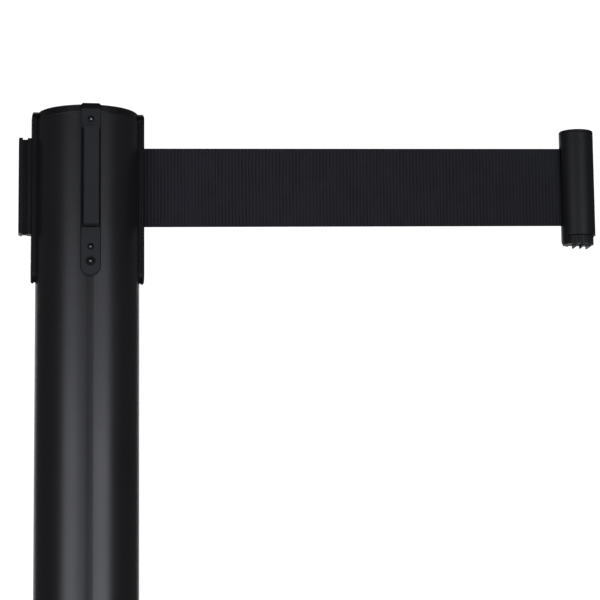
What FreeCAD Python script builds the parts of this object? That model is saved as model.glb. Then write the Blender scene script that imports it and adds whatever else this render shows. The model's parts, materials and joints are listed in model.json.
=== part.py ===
import FreeCAD, Part
import math
import os

import Sketcher

# A retractable belt stanchion: a weighted base, a round post whose head holds a sprung belt
# cassette, three receiver strips for other posts' belts, and the belt with its round end.
# Millimetres and degrees. The origin is on the floor under the middle of the post, +Z is up,
# the belt leaves towards +X and the front receiver strip faces -Y.

SIZES = {
    # post
    "rim_height": 1008.0,
    "tube_radius": 31.75,
    "tube_wall": 1.5,
    "fit_gap": 0.05,
    "cassette_gap": 0.25,
    # base
    "pad_radius": 160.0,
    "pad_thick": 3.0,
    "weight_radius": 166.0,
    "weight_edge": 12.0,
    "weight_foot_bevel": 4.0,
    "weight_edge_bevel": 3.0,
    "weight_hub_radius": 55,
    "weight_top": 24.0,
    "bolt_pocket_radius": 22.0,
    "bolt_pocket_top": 17.5,
    "bolt_radius": 5.95,
    "bolt_hole_radius": 6.6,
    "bolt_flats": 19.0,
    "bolt_head_thick": 7.5,
    "washer_radius": 18.0,
    "washer_thick": 2.0,
    "spring_washer_radius": 10.5,
    "spring_washer_thick": 2.5,
    "plug_height": 22.0,
    "cover_radius": 178.0,
    "cover_lift": 0.8,
    "cover_sheet": 1.2,
    "cover_rim_height": 12.0,
    "cover_rim_fillet": 8.0,
    "cover_dome_depth": 640.0,
    "cover_neck_fillet": 9.0,
    "cover_neck_radius": 32.0,
    "cover_neck_top": 54.0,
    # strips round the head
    "strip_proud": 2.73,
    "strip_width": 12.27,
    "strip_top": 4.85,
    "strip_bottom": 100.7,
    "strip_shoulder": 1.2,
    "strip_edge": 0.6,
    "strip_slope_height": 2.2,
    "strip_slope_depth": 0.8,
    "strip_relief_height": 1.0,
    "strip_relief_depth": 0.6,
    "recess_half_width": 5.6,
    "recess_depth": 1.7,
    "recess_margin": 0.5,
    "tab_radius": 28.9,
    "tab_floor": 2.3,
    "tongue_proud": 10.46,
    "tongue_top": 11.2,
    "tongue_bottom": 70.9,
    "tongue_block_width": 8.0,
    "tongue_block_thick": 2.4,
    "tongue_stem_width": 3.4,
    "tongue_lip_width": 9.5,
    "tongue_lip_thick": 2.33,
    "tongue_lip_edge": 0.5,
    "tongue_stem_dip": 0.55,
    "tongue_foot_slope": 0.9,
    # strip screws
    "screw_top_depth": 5.1,
    "screw_lower_depth": 83.0,
    "screw_large_depth": 91.6,
    "screw_radius": 1.55,
    "screw_head_radius": 1.9,
    "screw_head_thick": 0.9,
    "screw_sink": 1.0,
    "screw_seat_gap": 0.15,
    "screw_large_radius": 2.05,
    "screw_large_head_radius": 2.35,
    "screw_large_head_thick": 1.25,
    "screw_large_sink": 1.7,
    "screw_large_seat_gap": 0.65,
    "screw_tip_radius": 28.4,
    "screw_tip_taper": 0.4,
    # top cap
    "cap_radius": 31.4,
    "cap_wall_height": 4.5,
    "cap_edge": 1.2,
    "cap_crown": 3.85,
    "cap_crown_radius": 130.0,
    "cap_skirt": 9.0,
    "cap_skirt_wall": 2.4,
    "cap_shell": 2.2,
    "cap_under": 1.6,
    "cap_fillet": 3.0,
    "notch_gap": 0.1,
    # belt
    "belt_centre_depth": 40.3,
    "belt_width": 49.4,
    "belt_thick": 0.6,
    "belt_roll_radius": 20.6,
    "belt_clear": 0.3,
    "belt_joint_gap": 0.65,
    "outlet_x": 27.0,
    "line_yaw": -3.02,
    "line_lift": 0.571,
    "barrel_distance": 280.0,
    # cassette
    "shell_wall": 1.8,
    "lid_top": 9.5,
    "lid_thick": 3.0,
    "floor_top": 99.0,
    "floor_thick": 3.0,
    "window_half": 7.5,
    "frame_half": 7.2,
    "frame_side": 0.8,
    "frame_inner_x": 24.6,
    "frame_outer_x": 29.0,
    "frame_bottom": 69.0,
    "frame_gap": 0.2,
    "frame_bridge": 2.5,
    "roller_radius": 2.6,
    "roller_y": 3.45,
    "roller_top": 15.3,
    "roller_bottom": 66.2,
    "roller_pin_radius": 0.98,
    "roller_bore_gap": 0.07,
    "slot_half": 3.6,
    "slot_top": 14.0,
    "slot_bottom": 67.0,
    "mouth_half": 3.4,
    "mouth_top": 14.6,
    "mouth_bottom": 66.4,
    # spool and spring
    "axle_radius": 3.0,
    "hub_radius": 8.0,
    "hub_bore": 5.0,
    "bushing_length": 14.0,
    "flange_radius": 24.0,
    "flange_thick": 1.5,
    "flange_clear": 0.6,
    "axle_clear": 0.3,
    "case_wall": 1.4,
    "case_bottom": 83.5,
    "case_lid_thick": 1.5,
    "arbor_radius": 6.0,
    "spring_top": 67.9,
    "spring_bottom": 82.9,
    "spring_band": 0.9,
    "spring_pitch": 1.9,
    # brake
    "brake_hub_radius": 7.0,
    "brake_bottom": 97.0,
    "ear_thick": 3.0,
    "ear_radius": 3.6,
    "ear_foot": 4.8,
    "shoe_top": 88.4,
    "shoe_bottom": 96.5,
    "shoe_inner": 17.0,
    "shoe_outer": 22.4,
    "shoe_half_angle": 75.0,
    "lining_outer": 24.6,
    "lining_half_angle": 58.0,
    "shoe_pin_at": 19.7,
    "shoe_pin_angle": -64.0,
    "shoe_pin_radius": 1.2,
    "drum_inner": 26.3,
    "drum_top": 85.6,
    "drum_bottom": 98.0,
    # belt end, measured from the barrel's axis and from the belt's middle
    "barrel_radius": 10.7,
    "barrel_top": 33.95,
    "barrel_bottom": 31.4,
    "barrel_edge": 0.35,
    "barrel_cap_thick": 1.5,
    "skirt_inner": 9.7,
    "skirt_edge": 0.85,
    "skirt_rise": 1.9,
    "skirt_from": 8.2,
    "dock_stem_half": 2.0,
    "dock_lip_x": 8.0,
    "dock_inner_x": 4.95,
    "dock_half": 5.05,
    "dock_top": 29.2,
    "pin_x": -3.4,
    "pin_radius": 1.5,
    "pin_half_length": 27.5,
    "loop_inner": 1.6,
    "loop_outer": 2.2,
    "pocket_radius": 2.5,
    "pocket_half_height": 25.1,
    "pocket_mouth_half": 2.75,
    "loop_tail": 6.2,
    "ring_radius": 9.4,
    "ring_top": 31.7,
    "ring_bottom": 36.8,
    "ring_bore": 2.0,
    "ring_gap_half": 5.3,
    "ring_gap_inner": 4.6,
    "ring_recess_radius": 2.45,
    "ring_recess_top": 34.3,
    "ring_rib_radius": 0.45,
    "bar_half_width": 0.55,
    "bar_height": 1.6,
    "bar_first_x": -2.8,
    "bar_spacing": 4.5,
    "bar_reach": 8.9,
    "lock_head_radius": 2.25,
    "lock_head_bottom": 36.4,
    "lock_head_top": 34.4,
    "lock_head_edge": 0.4,
    "lock_shoulder_radius": 1.95,
    "lock_shank_radius": 1.25,
    "lock_shank_top": 26.0,
}

RIB_COUNT = 28
BAR_COUNT = 3
SPRING_TURNS = 7
# a screw head's dome as a share of its thickness, and its cross as shares of its radius
CROWN_SHARE = 0.45
CROSS_REACH = 0.62
CROSS_HALF_WIDTH = 0.13
# how close two lengths, and how small a cut's volume, count as nothing
SAME_LENGTH = 0.01
NO_VOLUME = 1e-6
SIDES = {"front": 0, "right": 90, "back": 180, "left": 270}

doc = FreeCAD.newDocument("belt_stanchion")
sheet = doc.addObject("Spreadsheet::Sheet", "sizes")


class Size:
    """A length or an angle: its number, and the text that ties it to the sheet's cells."""

    def __init__(self, text, value):
        self.text = text
        self.value = value

    def __add__(self, other):
        other = as_size(other)
        return Size(f"({self.text} + {other.text})", self.value + other.value)

    def __sub__(self, other):
        other = as_size(other)
        return Size(f"({self.text} - {other.text})", self.value - other.value)

    def __mul__(self, other):
        other = as_size(other)
        return Size(f"({self.text} * {other.text})", self.value * other.value)

    def __truediv__(self, other):
        other = as_size(other)
        return Size(f"({self.text} / {other.text})", self.value / other.value)

    def __radd__(self, other):
        return as_size(other) + self

    def __rsub__(self, other):
        return as_size(other) - self

    def __rmul__(self, other):
        return as_size(other) * self

    def __neg__(self):
        return Size(f"(0 - {self.text})", -self.value)


def as_size(number):
    if isinstance(number, Size):
        return number
    if number < 0:
        return Size(f"(0 - {-number})", number)
    return Size(str(number), number)


def root(size):
    return Size(f"sqrt({size.text})", math.sqrt(size.value))


class Sizes:
    """The sheet's cells by name, so that D.rim_height is the cell rim_height."""


def fill_sheet():
    named = Sizes()
    for row, (name, value) in enumerate(SIZES.items(), 1):
        sheet.set(f"A{row}", name)
        sheet.set(f"B{row}", str(value))
        sheet.setAlias(f"B{row}", name)
        setattr(named, name, Size(f"sizes.{name}", value))
    doc.recompute()
    return named


D = fill_sheet()
ZERO = as_size(0)

# heights and radii that several pieces share
TUBE_INNER = D.tube_radius - D.tube_wall
STRIP_FACE = D.tube_radius + D.strip_proud
TONGUE_FACE = D.tube_radius + D.tongue_proud
SHELL_RADIUS = TUBE_INNER - D.cassette_gap
SHELL_INNER = SHELL_RADIUS - D.shell_wall
HALF_BELT = D.belt_width / 2
BELT_TOP = D.belt_centre_depth - HALF_BELT
BELT_BOTTOM = D.belt_centre_depth + HALF_BELT


def below_rim(depth):
    """The height above the floor of a level that lies this far below the tube's rim."""
    return D.rim_height - depth


# ---------------------------------------------------------------- sketch and feature helpers


def new_body(label):
    body = doc.addObject("PartDesign::Body", label)
    body.Label = label
    return body


def origin_feature(body, role):
    return [f for f in body.Origin.OriginFeatures if f.Role == role][0]


def sketch_on(body, role, name, offset=ZERO):
    """A sketch on one of the body's own origin planes, moved along the plane's normal."""
    sketch = body.newObject("Sketcher::SketchObject", f"{body.Label}_{name}")
    sketch.AttachmentSupport = [(origin_feature(body, role), "")]
    sketch.MapMode = "FlatFace"
    sketch.setExpression("AttachmentOffset.Base.z", offset.text)
    return sketch


def drive(sketch, kind, target, size):
    """Adds a dimension whose value comes from the sheet."""
    index = sketch.addConstraint(Sketcher.Constraint(kind, *target, size.value))
    sketch.setExpression(f"Constraints[{index}]", size.text)


def pin_point(sketch, geometry, end, x, y):
    drive(sketch, "DistanceX", (-1, 1, geometry, end), x)
    drive(sketch, "DistanceY", (-1, 1, geometry, end), y)


def arc_between(start, stop, centre, turn):
    """An arc about centre: turn is 1 for anticlockwise from start to stop, or -1."""
    if turn < 0:
        start, stop = stop, start
    a = math.atan2(start[1] - centre[1], start[0] - centre[0])
    b = math.atan2(stop[1] - centre[1], stop[0] - centre[0])
    if b <= a:
        b += 2 * math.pi
    radius = math.hypot(start[0] - centre[0], start[1] - centre[1])
    middle = FreeCAD.Vector(centre[0], centre[1], 0)
    circle = Part.Circle(middle, FreeCAD.Vector(0, 0, 1), radius)
    return Part.ArcOfCircle(circle, a, b)


def outline(sketch, corners):
    """A closed outline. A corner is (x, y), and the edge that leaves it is straight; a corner
    (x, y, centre_x, centre_y, turn) starts an arc about that centre."""
    corners = [[as_size(v) for v in c[:4]] + list(c[4:]) for c in corners]
    numbers = [(c[0].value, c[1].value) for c in corners]
    edges = []
    for i, corner in enumerate(corners):
        start = numbers[i]
        stop = numbers[(i + 1) % len(corners)]
        if len(corner) == 2:
            shape = Part.LineSegment(FreeCAD.Vector(*start, 0), FreeCAD.Vector(*stop, 0))
            edges.append((sketch.addGeometry(shape), 1, 2))
            continue
        centre = (corner[2].value, corner[3].value)
        arc = sketch.addGeometry(arc_between(start, stop, centre, corner[4]))
        edges.append((arc, 1, 2) if corner[4] > 0 else (arc, 2, 1))
        across = abs(stop[0] - start[0]) >= abs(stop[1] - start[1])
        if across:
            drive(sketch, "DistanceY", (-1, 1, arc, 3), corner[3])
        else:
            drive(sketch, "DistanceX", (-1, 1, arc, 3), corner[2])
    for i, corner in enumerate(corners):
        last = edges[i - 1]
        this = edges[i]
        joined = Sketcher.Constraint("Coincident", last[0], last[2], this[0], this[1])
        sketch.addConstraint(joined)
        pin_point(sketch, this[0], this[1], corner[0], corner[1])
    return sketch


def rectangle(sketch, x0, y0, x1, y1):
    return outline(sketch, [(x0, y0), (x1, y0), (x1, y1), (x0, y1)])


def circle(sketch, x, y, radius):
    x, y = as_size(x), as_size(y)
    middle = FreeCAD.Vector(x.value, y.value, 0)
    shape = Part.Circle(middle, FreeCAD.Vector(0, 0, 1), radius.value)
    index = sketch.addGeometry(shape)
    pin_point(sketch, index, 3, x, y)
    drive(sketch, "Radius", (index,), radius)
    return sketch


def pad(body, sketch, length, backwards=False):
    feature = body.newObject("PartDesign::Pad", f"{sketch.Label}_pad")
    feature.Profile = sketch
    feature.Reversed = backwards
    feature.setExpression("Length", length.text)
    return feature


def pocket(body, sketch, length=None, forwards=True):
    """Cuts along the sketch's normal, or against it, or right through both ways."""
    feature = body.newObject("PartDesign::Pocket", f"{sketch.Label}_pocket")
    feature.Profile = sketch
    feature.Reversed = forwards
    if length is None:
        feature.Type = "ThroughAll"
        feature.SideType = "Symmetric"
    else:
        feature.setExpression("Length", length.text)
    return feature


def revolve(body, sketch):
    feature = body.newObject("PartDesign::Revolution", f"{sketch.Label}_turn")
    feature.Profile = sketch
    feature.ReferenceAxis = (sketch, ["V_Axis"])
    feature.Angle = 360
    return feature


def polar(body, feature, count):
    pattern = body.newObject("PartDesign::PolarPattern", f"{feature.Label}_round")
    pattern.Originals = [feature]
    pattern.Axis = (origin_feature(body, "Z_Axis"), [""])
    pattern.Angle = 360
    pattern.Occurrences = count
    body.Tip = pattern
    return pattern


def edges_where(feature, test):
    doc.recompute()
    return [f"Edge{i}" for i, edge in enumerate(feature.Shape.Edges, 1) if test(edge)]


def dress(body, kind, feature, names, size):
    """A chamfer or a fillet on the named edges."""
    dressed = body.newObject(f"PartDesign::{kind}", f"{feature.Label}_{kind.lower()}")
    dressed.Base = (feature, names)
    dressed.setExpression("Size" if kind == "Chamfer" else "Radius", size.text)
    return dressed


def turned(label, corners):
    """A piece turned about the vertical axis: corners are (radius, height)."""
    body = new_body(label)
    revolve(body, outline(sketch_on(body, "XZ_Plane", "profile"), corners))
    return body


def ring(label, inner, outer, low, high):
    return turned(label, [(inner, low), (outer, low), (outer, high), (inner, high)])


def disc(label, radius, low, height):
    """A plain cylinder about the post's axis."""
    made = doc.addObject("Part::Cylinder", label)
    made.Label = label
    made.setExpression("Radius", radius.text)
    made.setExpression("Height", height.text)
    made.setExpression("Placement.Base.z", low.text)
    return made


def group(label, pieces):
    """Identical pieces that share one node, each still a solid of its own."""
    made = doc.addObject("Part::Compound", label)
    made.Label = label
    made.Links = pieces
    return made


def turn_about_post(piece, angle):
    up = FreeCAD.Vector(0, 0, 1)
    piece.Placement = FreeCAD.Placement(FreeCAD.Vector(), FreeCAD.Rotation(up, angle))
    return piece


def belt_line():
    """The belt's line: its pivot in the outlet, turned a little aside and rising slightly."""
    pivot = FreeCAD.Vector(D.outlet_x.value, 0, below_rim(D.belt_centre_depth).value)
    yaw = FreeCAD.Rotation(FreeCAD.Vector(0, 0, 1), D.line_yaw.value)
    lift = FreeCAD.Rotation(FreeCAD.Vector(0, 1, 0), -D.line_lift.value)
    return FreeCAD.Placement(pivot, yaw.multiply(lift))


def at_belt_end(piece):
    """Stands a piece upright at the end of the belt's line, with the barrel's axis as its own."""
    place = belt_line().multVec(FreeCAD.Vector(D.barrel_distance.value, 0, 0))
    yaw = FreeCAD.Rotation(FreeCAD.Vector(0, 0, 1), D.line_yaw.value)
    piece.Placement = FreeCAD.Placement(place, yaw)
    return piece


# ---------------------------------------------------------------- base


def base_weight():
    top = D.weight_top
    hole = D.bolt_hole_radius
    pocket_radius = D.bolt_pocket_radius
    corners = [
        (pocket_radius, D.pad_thick),
        (D.weight_radius - D.weight_foot_bevel, D.pad_thick),
        (D.weight_radius, D.pad_thick + D.weight_foot_bevel),
        (D.weight_radius, D.weight_edge - D.weight_edge_bevel),
        (D.weight_radius - D.weight_edge_bevel, D.weight_edge),
        (D.weight_hub_radius, top),
        (hole, top),
        (hole, D.bolt_pocket_top),
        (pocket_radius, D.bolt_pocket_top),
    ]
    return turned("base_weight", corners)


def cover_side(inset):
    """One face of the cover sheet, from its rim to the top of its neck, moved in by inset."""
    fillet = D.cover_rim_fillet - inset
    middle_x = D.cover_radius - D.cover_rim_fillet
    middle_y = D.cover_rim_height
    dome_y = -D.cover_dome_depth
    rise = middle_y - dome_y
    reach = root(middle_x * middle_x + rise * rise)
    dome = reach + fillet
    rim_x = middle_x * dome / reach
    rim_y = dome_y + rise * dome / reach
    bend = D.cover_neck_fillet + inset
    bend_x = D.cover_neck_radius + D.cover_sheet + D.cover_neck_fillet
    far = dome + bend
    bend_rise = root(far * far - bend_x * bend_x)
    bend_y = dome_y + bend_rise
    foot_x = bend_x * dome / far
    foot_y = dome_y + bend_rise * dome / far
    side_x = D.cover_radius - inset
    neck_x = bend_x - bend
    return [
        (side_x, D.cover_lift),
        (side_x, middle_y, middle_x, middle_y, 1),
        (rim_x, rim_y, ZERO, dome_y, 1),
        (foot_x, foot_y, bend_x, bend_y, -1),
        (neck_x, bend_y),
        (neck_x, D.cover_neck_top),
    ]


def back_along(side):
    """The same face, drawn the other way: an arc then starts at its other end."""
    flipped = []
    for i in range(len(side) - 1, -1, -1):
        corner = side[i][:2]
        before = side[i - 1]
        if i > 0 and len(before) > 2:
            corner = corner + (before[2], before[3], -before[4])
        flipped.append(corner)
    return flipped


def base_cover():
    return turned("base_cover", cover_side(ZERO) + back_along(cover_side(D.cover_sheet)))


def base_bolt():
    body = new_body("base_bolt")
    head_top = D.bolt_pocket_top - D.washer_thick - D.spring_washer_thick
    half = D.bolt_flats / 2
    reach = half * (2 / math.sqrt(3))
    corners = [
        (reach, ZERO),
        (reach / 2, half),
        (-reach / 2, half),
        (-reach, ZERO),
        (-reach / 2, -half),
        (reach / 2, -half),
    ]
    head = outline(sketch_on(body, "XY_Plane", "head", head_top), corners)
    pad(body, head, D.bolt_head_thick, backwards=True)
    shank = circle(sketch_on(body, "XY_Plane", "shank", head_top), 0, 0, D.bolt_radius)
    pad(body, shank, D.weight_top + D.plug_height - 2 - head_top)
    return body


def make_base():
    washer_low = D.bolt_pocket_top - D.washer_thick
    plug_top = D.weight_top + D.plug_height
    return [
        disc("rubber_floor_pad", D.pad_radius, ZERO, D.pad_thick),
        base_weight(),
        base_cover(),
        base_bolt(),
        ring("base_washer", D.bolt_hole_radius, D.washer_radius, washer_low, D.bolt_pocket_top),
        ring(
            "spring_washer",
            D.bolt_hole_radius,
            D.spring_washer_radius,
            washer_low - D.spring_washer_thick,
            washer_low,
        ),
        ring("foot_plug", D.bolt_radius + D.fit_gap, TUBE_INNER, D.weight_top, plug_top),
    ]


# ---------------------------------------------------------------- post and head


def screw_rows(sketch, levels):
    for depth, radius in levels:
        circle(sketch, 0, below_rim(depth), radius + D.fit_gap)
    return sketch


LOWER_ROWS = [
    (D.screw_lower_depth, D.screw_radius),
    (D.screw_large_depth, D.screw_large_radius),
]


def drill_four_ways(body, levels):
    for role, name in (("XZ_Plane", "holes_fore_aft"), ("YZ_Plane", "holes_across")):
        pocket(body, screw_rows(sketch_on(body, role, name), levels))


def post_tube():
    body = new_body("post_tube")
    section = sketch_on(body, "XY_Plane", "section", D.weight_top)
    circle(section, 0, 0, D.tube_radius)
    circle(section, 0, 0, TUBE_INNER)
    pad(body, section, D.rim_height - D.weight_top)
    drill_four_ways(body, [(D.screw_top_depth, D.screw_radius)] + LOWER_ROWS)
    slot = sketch_on(body, "YZ_Plane", "outlet", D.outlet_x)
    low, high = below_rim(D.slot_bottom), below_rim(D.slot_top)
    rectangle(slot, -D.slot_half, low, D.slot_half, high)
    pocket(body, slot, D.tube_radius)
    return body


def top_cap():
    skirt_outer = SHELL_RADIUS
    skirt_inner = SHELL_RADIUS - D.cap_skirt_wall
    crown_top = below_rim(-(D.cap_wall_height + D.cap_crown))
    crown_y = crown_top - D.cap_crown_radius
    edge_x = D.cap_radius - D.cap_edge
    reach = D.cap_crown_radius - D.cap_edge
    edge_rise = root(reach * reach - edge_x * edge_x)
    edge_y = crown_y + edge_rise
    meet_x = edge_x * D.cap_crown_radius / reach
    meet_y = crown_y + edge_rise * D.cap_crown_radius / reach
    under = D.rim_height + D.cap_under
    corners = [
        (skirt_inner, below_rim(D.cap_skirt)),
        (skirt_outer, below_rim(D.cap_skirt)),
        (skirt_outer, D.rim_height),
        (D.cap_radius, D.rim_height),
        (D.cap_radius, edge_y, edge_x, edge_y, 1),
        (meet_x, meet_y, ZERO, crown_y, 1),
        (ZERO, crown_top),
        (ZERO, crown_top - D.cap_shell),
        (skirt_inner - D.cap_fillet, under + D.cap_fillet / 2),
        (skirt_inner, under),
    ]
    body = turned("top_cap", corners)
    floor = D.rim_height + D.tab_floor - D.fit_gap
    notch = sketch_on(body, "XY_Plane", "notch", floor)
    half = D.strip_width / 2 + D.notch_gap
    rectangle(notch, -half, -(D.cap_radius + 2), half, -(D.tab_radius - D.notch_gap))
    polar(body, pocket(body, notch, D.cap_wall_height * 3), 4)
    levels = [(D.screw_top_depth, D.screw_radius)]
    drill_four_ways(body, levels)
    return body


def strip_blank(label):
    """The flat strip with its rounded foot and the tab that folds over the cap, facing -Y."""
    body = new_body(label)
    half = D.strip_width / 2
    foot = below_rim(D.strip_bottom) + half
    top = D.rim_height + D.strip_top
    corners = [
        (-half, foot, ZERO, foot, 1),
        (half, foot),
        (half, top - D.strip_shoulder),
        (half - D.strip_shoulder, top),
        (D.strip_shoulder - half, top),
        (-half, top - D.strip_shoulder),
    ]
    face = outline(sketch_on(body, "XZ_Plane", "face", D.tab_radius), corners)
    pad(body, face, STRIP_FACE - D.tab_radius)
    below = D.strip_bottom + 1
    seat = sketch_on(body, "XY_Plane", "seat", below_rim(below))
    circle(seat, 0, 0, D.tube_radius + D.fit_gap)
    pocket(body, seat, below + D.tab_floor)
    return body


def bevel_front(body):
    """Bevels every edge of the strip's outer face."""
    face_y = -STRIP_FACE.value

    def on_face(edge):
        box = edge.BoundBox
        return max(abs(box.YMin - face_y), abs(box.YMax - face_y)) < SAME_LENGTH

    feature = body.Tip
    dress(body, "Chamfer", feature, edges_where(feature, on_face), D.strip_edge)


def slope_top(body):
    """The top of the strip leans back."""
    top = D.rim_height + D.strip_top
    start = top - D.strip_slope_height
    corners = [
        (-STRIP_FACE, start),
        (-(STRIP_FACE + 1), start),
        (-(STRIP_FACE + 1), top + 1),
        (D.strip_slope_depth - STRIP_FACE, top + 1),
        (D.strip_slope_depth - STRIP_FACE, top),
    ]
    pocket(body, outline(sketch_on(body, "YZ_Plane", "slope"), corners))


def relieve_sides(body):
    """A step along the back of the strip's sides and foot, which leaves a dark seam."""
    half = D.strip_width / 2
    foot = below_rim(D.strip_bottom) + half
    inner = half - D.strip_relief_depth
    outer = half + 1
    corners = [
        (-outer, D.rim_height),
        (-outer, foot - outer),
        (outer, foot - outer),
        (outer, D.rim_height),
        (inner, D.rim_height),
        (inner, foot, ZERO, foot, -1),
        (-inner, foot),
        (-inner, D.rim_height),
    ]
    relief = sketch_on(body, "XZ_Plane", "relief", D.tube_radius + D.strip_relief_height)
    pocket(body, outline(relief, corners), D.strip_relief_height * 3, forwards=False)


SCREWS = {
    "top": (D.screw_top_depth, D.screw_radius),
    "lower": (D.screw_lower_depth, D.screw_radius),
    "large": (D.screw_large_depth, D.screw_large_radius),
}


def screw_head(row):
    """The head's radius and thickness, how deep its seat is, and the seat's gap round it."""
    if row == "large":
        head = (D.screw_large_head_radius, D.screw_large_head_thick)
        return head + (D.screw_large_sink, D.screw_large_seat_gap)
    return D.screw_head_radius, D.screw_head_thick, D.screw_sink, D.screw_seat_gap


def sink_screws(body):
    """The screws' through holes and the seats that their heads sit in."""
    for row, (depth, radius) in SCREWS.items():
        head_radius, _, sink, gap = screw_head(row)
        hole = sketch_on(body, "XZ_Plane", f"hole_{row}", D.tab_radius - 1)
        circle(hole, 0, below_rim(depth), radius + D.fit_gap)
        pocket(body, hole, STRIP_FACE)
        seat = sketch_on(body, "XZ_Plane", f"seat_{row}", STRIP_FACE - sink)
        circle(seat, 0, below_rim(depth), head_radius + gap)
        pocket(body, seat, STRIP_FACE)


def finish_strip(body):
    """Bevels, slopes and drills a strip once its outline and openings are cut."""
    bevel_front(body)
    slope_top(body)
    relieve_sides(body)
    sink_screws(body)


def tongue_recess(body):
    """The sunk panel that the tongue stands in."""
    half = D.recess_half_width
    low = below_rim(D.tongue_bottom + D.recess_margin)
    high = below_rim(D.tongue_top - D.recess_margin)
    panel = sketch_on(body, "XZ_Plane", "recess", STRIP_FACE - D.recess_depth)
    pocket(body, rectangle(panel, -half, low, half, high), D.recess_depth * 2)


def tongue(body):
    """The T that another post's belt end slides down over: block, stem and lip."""
    root_y = -(STRIP_FACE - D.recess_depth - D.strip_relief_height / 2)
    block_y = -(STRIP_FACE + D.tongue_block_thick)
    lip_y = -(TONGUE_FACE - D.tongue_lip_thick)
    face_y = -TONGUE_FACE
    block = D.tongue_block_width / 2
    stem = D.tongue_stem_width / 2
    lip = D.tongue_lip_width / 2
    edge = D.tongue_lip_edge
    corners = [
        (-block, root_y),
        (-block, block_y),
        (-stem, block_y),
        (-stem, lip_y),
        (-lip, lip_y),
        (-lip, face_y + edge),
        (edge - lip, face_y),
        (lip - edge, face_y),
        (lip, face_y + edge),
        (lip, lip_y),
        (stem, lip_y),
        (stem, block_y),
        (block, block_y),
        (block, root_y),
    ]
    section = sketch_on(body, "XY_Plane", "tongue", below_rim(D.tongue_bottom))
    outline(section, corners)
    pad(body, section, D.tongue_bottom - D.tongue_top)
    dip = sketch_on(body, "XY_Plane", "dip", below_rim(D.tongue_top + D.tongue_stem_dip))
    rectangle(dip, -stem - 1, lip_y, stem + 1, block_y)
    pocket(body, dip, D.tongue_stem_dip * 2)
    foot = below_rim(D.tongue_bottom)
    corners = [
        (face_y - 1, foot - 1),
        (face_y + D.tongue_foot_slope, foot - 1),
        (face_y + D.tongue_foot_slope, foot),
        (face_y, foot + D.tongue_foot_slope),
        (face_y - 1, foot + D.tongue_foot_slope),
    ]
    pocket(body, outline(sketch_on(body, "YZ_Plane", "foot_slope"), corners))


def receiver_strip(side):
    body = strip_blank(f"receiver_{side}")
    finish_strip(body)
    tongue_recess(body)
    tongue(body)
    return turn_about_post(body, SIDES[side])


def outlet_strip():
    body = strip_blank("outlet_strip")
    mouth = sketch_on(body, "XZ_Plane", "mouth", D.tab_radius - 1)
    low, high = below_rim(D.mouth_bottom), below_rim(D.mouth_top)
    rectangle(mouth, -D.mouth_half, low, D.mouth_half, high)
    pocket(body, mouth, STRIP_FACE)
    finish_strip(body)
    return turn_about_post(body, SIDES["right"])


def strip_screw(label, row, side):
    """A domed screw that points at the post's axis, with a cross cut in its head."""
    depth, radius = SCREWS[row]
    head_radius, head_thick, sink, _ = screw_head(row)
    body = new_body(label)
    seat = STRIP_FACE - sink
    crown = head_thick * CROWN_SHARE
    taper = D.screw_tip_taper
    profile = sketch_on(body, "XY_Plane", "profile")
    ball = (head_radius * head_radius + crown * crown) / (crown * 2)
    top = seat + head_thick
    corners = [
        (ZERO, -D.screw_tip_radius),
        (radius - taper, -D.screw_tip_radius),
        (radius, -(D.screw_tip_radius + taper)),
        (radius, -seat),
        (head_radius, -seat),
        (head_radius, -(top - crown), ZERO, ball - top, -1),
        (ZERO, -top),
    ]
    outline(profile, corners)
    revolve(body, profile)
    cross = sketch_on(body, "XZ_Plane", "cross", top - crown)
    arm = head_radius * CROSS_REACH
    half = head_radius * CROSS_HALF_WIDTH
    points = [(arm, half), (half, half), (half, arm)]
    corners = []
    for sign_x, sign_y in ((1, 1), (-1, 1), (-1, -1), (1, -1)):
        quarter = points if sign_x * sign_y > 0 else points[::-1]
        corners += [(x * sign_x, y * sign_y) for x, y in quarter]
    outline(cross, corners)
    pocket(body, cross, head_thick)
    up = FreeCAD.Vector(0, 0, 1)
    height = FreeCAD.Vector(0, 0, below_rim(depth).value)
    body.Placement = FreeCAD.Placement(height, FreeCAD.Rotation(up, SIDES[side]))
    return body


def strip_screws(row):
    """One row of screws, the same on all four sides."""
    label = f"strip_screws_{row}"
    return group(label, [strip_screw(f"{label}_{side}", row, side) for side in SIDES])


def make_head():
    return [
        post_tube(),
        top_cap(),
        receiver_strip("front"),
        receiver_strip("left"),
        receiver_strip("back"),
        outlet_strip(),
        strip_screws("top"),
        strip_screws("lower"),
        strip_screws("large"),
    ]


# ---------------------------------------------------------------- cassette, fixed pieces


def cassette_wall():
    low, high = below_rim(D.floor_top), below_rim(D.lid_top + D.lid_thick)
    body = ring("cassette_wall", SHELL_INNER, SHELL_RADIUS, low, high)
    window = sketch_on(body, "YZ_Plane", "window", D.hub_radius)
    high = below_rim(D.lid_top)
    rectangle(window, -D.window_half, below_rim(D.frame_bottom + D.frame_gap), D.window_half, high)
    pocket(body, window, D.tube_radius)
    drill_four_ways(body, LOWER_ROWS)
    return body


def outlet_frame():
    """The frame in the cassette's window that carries the two roller pins."""
    body = new_body("outlet_frame")
    low, high = below_rim(D.frame_bottom), below_rim(D.lid_top + D.lid_thick)
    side = D.frame_half - D.frame_side
    front = sketch_on(body, "YZ_Plane", "front", D.frame_inner_x)
    rectangle(front, -D.frame_half, low, D.frame_half, high)
    rectangle(front, -side, low + D.frame_bridge, side, high - D.frame_bridge)
    pad(body, front, D.frame_outer_x - D.frame_inner_x)
    holes = sketch_on(body, "XY_Plane", "pin_holes")
    circle(holes, D.outlet_x, D.roller_y, D.roller_pin_radius)
    circle(holes, D.outlet_x, -D.roller_y, D.roller_pin_radius)
    pocket(body, holes)
    return body


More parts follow.
